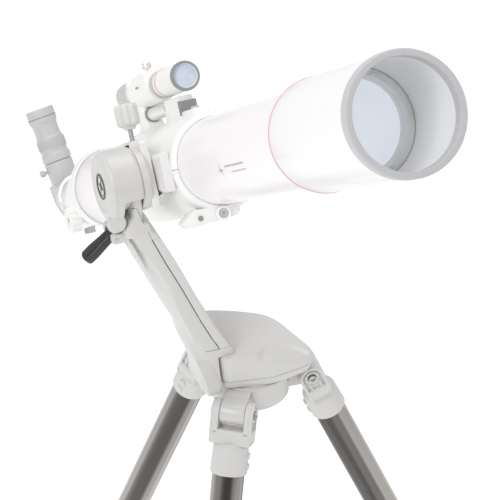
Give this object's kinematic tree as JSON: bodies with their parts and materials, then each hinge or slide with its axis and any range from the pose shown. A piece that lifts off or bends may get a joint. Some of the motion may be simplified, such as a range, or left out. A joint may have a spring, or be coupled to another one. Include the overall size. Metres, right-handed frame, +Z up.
{
  "type": "refractor telescope",
  "caption": "Long white refractor telescope with finder, star diagonal and eyepiece, side-held on a one-arm altazimuth mount with a folding tube-leg tripod.",
  "frame": {"origin": "on the ground, on the azimuth axis of the mount", "axes": "+Z up along the azimuth axis; -Y is where the tube points; X is parallel to the altitude axis, with the mount's arm on the -X side"},
  "size_m": [0.6274, 1.1189, 1.3965],
  "materials": {
    "mount_grey": "satin light grey moulded plastic",
    "mount_metal": "satin light grey paint on cast aluminium",
    "lever_black": "satin black moulded plastic",
    "leg_steel": "bright drawn steel tube",
    "bolt_steel": "zinc plated steel",
    "tube_white": "smooth gloss white paint on aluminium tube",
    "cradle_white": "semi-gloss white moulded plastic",
    "pale_trim": "pale grey satin trim",
    "inner_grey": "matt pale grey inside paint",
    "grip_silver": "satin silver",
    "lens_glass": "coated optical glass",
    "mirror_glass": "front silvered mirror",
    "foot_rubber": "matt black rubber",
    "bearing_white": "slippery white bearing plastic"
  },
  "bodies": {
    "tripod": {"hub_casting": "mount_metal", "azimuth_bolt": "bolt_steel", "azimuth_bearing": "bearing_white", "leg_hinge_bolts": "bolt_steel"},
    "leg_1": {"leg_socket_1": "mount_grey", "leg_upper_tube_1": "leg_steel", "leg_collar_1": "mount_grey"},
    "lower_leg_1": {"leg_lower_tube_1": "leg_steel", "leg_foot_1": "foot_rubber"},
    "leg_lock_1": {"leg_knob_1": "lever_black"},
    "leg_2": {"leg_socket_2": "mount_grey", "leg_upper_tube_2": "leg_steel", "leg_collar_2": "mount_grey"},
    "lower_leg_2": {"leg_lower_tube_2": "leg_steel", "leg_foot_2": "foot_rubber"},
    "leg_lock_2": {"leg_knob_2": "lever_black"},
    "leg_3": {"leg_socket_3": "mount_grey", "leg_upper_tube_3": "leg_steel", "leg_collar_3": "mount_grey"},
    "lower_leg_3": {"leg_lower_tube_3": "leg_steel", "leg_foot_3": "foot_rubber"},
    "leg_lock_3": {"leg_knob_3": "lever_black"},
    "mount": {"base_casting": "mount_metal", "base_cover": "mount_grey", "arm_shell": "mount_metal", "arm_cover": "mount_grey", "head_housing": "mount_metal", "head_cap": "mount_grey", "altitude_bush": "bearing_white"},
    "lever": {"lock_lever": "lever_black"},
    "telescope": {"altitude_shaft": "bolt_steel", "saddle_body": "mount_metal", "saddle_jaw": "mount_metal", "dovetail_bar": "mount_metal", "cradle_lower": "cradle_white", "cradle_upper": "cradle_white", "handle_posts": "cradle_white", "handle_grip": "grip_silver", "main_tube": "tube_white", "dew_shield": "tube_white", "front_ring": "pale_trim", "lens_cell": "inner_grey", "objective_lens": "lens_glass", "tube_baffles": "inner_grey", "rear_bell": "cradle_white", "focuser_body": "cradle_white", "finder_bracket": "cradle_white", "finder_tube": "cradle_white", "finder_lens": "lens_glass", "finder_eyepiece": "pale_trim"},
    "saddle_clamp": {"clamp_knob": "mount_grey"},
    "focuser_tube": {"drawtube": "grip_silver"},
    "focus_wheel": {"focus_axle": "bolt_steel", "focus_knobs": "cradle_white"},
    "focus_lock_screw": {"focus_lock": "pale_trim"},
    "diagonal": {"diagonal_body": "pale_trim", "diagonal_mirror": "mirror_glass"},
    "eyepiece": {"eyepiece_body": "pale_trim", "eyepiece_lens": "lens_glass"},
    "finder_lock": {"finder_screw": "grip_silver"}
  },
  "joints": [
    {"name": "leg_fold_1", "type": "hinge", "parent": "tripod", "child": "leg_1", "pos_m": [-0.04173, -0.05744, 0.69], "axis": [0.809, -0.5878, 0], "range_deg": [0, 23]},
    {"name": "leg_extend_1", "type": "slide", "parent": "leg_1", "child": "lower_leg_1", "axis": [-0.2344, -0.3226, -0.9171], "range_m": [0, 0.3]},
    {"name": "leg_knob_turn_1", "type": "hinge", "parent": "leg_1", "child": "leg_lock_1", "pos_m": [-0.17252, -0.23745, 0.25352], "axis": [-0.539, -0.7419, 0.3987], "range_deg": [0, 180]},
    {"name": "leg_fold_2", "type": "hinge", "parent": "tripod", "child": "leg_2", "pos_m": [0.07061, -0.00742, 0.69], "axis": [0.1045, 0.9945, 0], "range_deg": [0, 23]},
    {"name": "leg_extend_2", "type": "slide", "parent": "leg_2", "child": "lower_leg_2", "axis": [0.3966, -0.0417, -0.9171], "range_m": [0, 0.3]},
    {"name": "leg_knob_turn_2", "type": "hinge", "parent": "leg_2", "child": "leg_lock_2", "pos_m": [0.29189, -0.03068, 0.25352], "axis": [0.912, -0.0959, 0.3987], "range_deg": [0, 180]},
    {"name": "leg_fold_3", "type": "hinge", "parent": "tripod", "child": "leg_3", "pos_m": [-0.02888, 0.06486, 0.69], "axis": [-0.9135, -0.4067, 0], "range_deg": [0, 23]},
    {"name": "leg_extend_3", "type": "slide", "parent": "leg_3", "child": "lower_leg_3", "axis": [-0.1622, 0.3643, -0.9171], "range_m": [0, 0.3]},
    {"name": "leg_knob_turn_3", "type": "hinge", "parent": "leg_3", "child": "leg_lock_3", "pos_m": [-0.11938, 0.26813, 0.25352], "axis": [-0.373, 0.8378, 0.3987], "range_deg": [0, 180]},
    {"name": "azimuth", "type": "hinge", "parent": "tripod", "child": "mount", "pos_m": [0, 0, 0.714], "axis": [0, 0, 1], "continuous": true},
    {"name": "altitude", "type": "hinge", "parent": "mount", "child": "telescope", "pos_m": [-0.137, 0, 1.002], "axis": [-1, 0, 0], "range_deg": [-50, 12]},
    {"name": "lever_swing", "type": "hinge", "parent": "mount", "child": "lever", "pos_m": [-0.166, -0.008, 0.944], "axis": [0, 1, 0], "range_deg": [0, 60]},
    {"name": "clamp_turn", "type": "hinge", "parent": "telescope", "child": "saddle_clamp", "pos_m": [-0.12, 0.05735, 1.03509], "axis": [0, 0.5736, 0.8192], "range_deg": [0, 360]},
    {"name": "focus_travel", "type": "slide", "parent": "telescope", "child": "focuser_tube", "axis": [0, 0.8192, -0.5736], "range_m": [-0.03, 0.04]},
    {"name": "focus_turn", "type": "hinge", "parent": "telescope", "child": "focus_wheel", "pos_m": [-0.052, 0.37435, 0.70326], "axis": [1, 0, 0], "range_deg": [-460, 345]},
    {"name": "focus_lock_turn", "type": "hinge", "parent": "telescope", "child": "focus_lock_screw", "pos_m": [-0.063, 0.39523, 0.67032], "axis": [0, -0.5736, -0.8192], "range_deg": [0, 180]},
    {"name": "diagonal_turn", "type": "hinge", "parent": "focuser_tube", "child": "diagonal", "pos_m": [-0.052, 0.47347, 0.67047], "axis": [0, 0.8192, -0.5736], "range_deg": [-90, 90]},
    {"name": "eyepiece_pull", "type": "slide", "parent": "diagonal", "child": "eyepiece", "axis": [-0.1392, 0.568, 0.8112], "range_m": [0, 0.028]},
    {"name": "finder_lock_turn", "type": "hinge", "parent": "telescope", "child": "finder_lock", "pos_m": [-0.052, 0.18638, 1.02409], "axis": [0, 0.5736, 0.8192], "range_deg": [0, 180]}
  ],
  "couplings": [
    {"joint": "focus_turn", "follows": "focus_travel", "rad_per_m": -200}
  ]
}
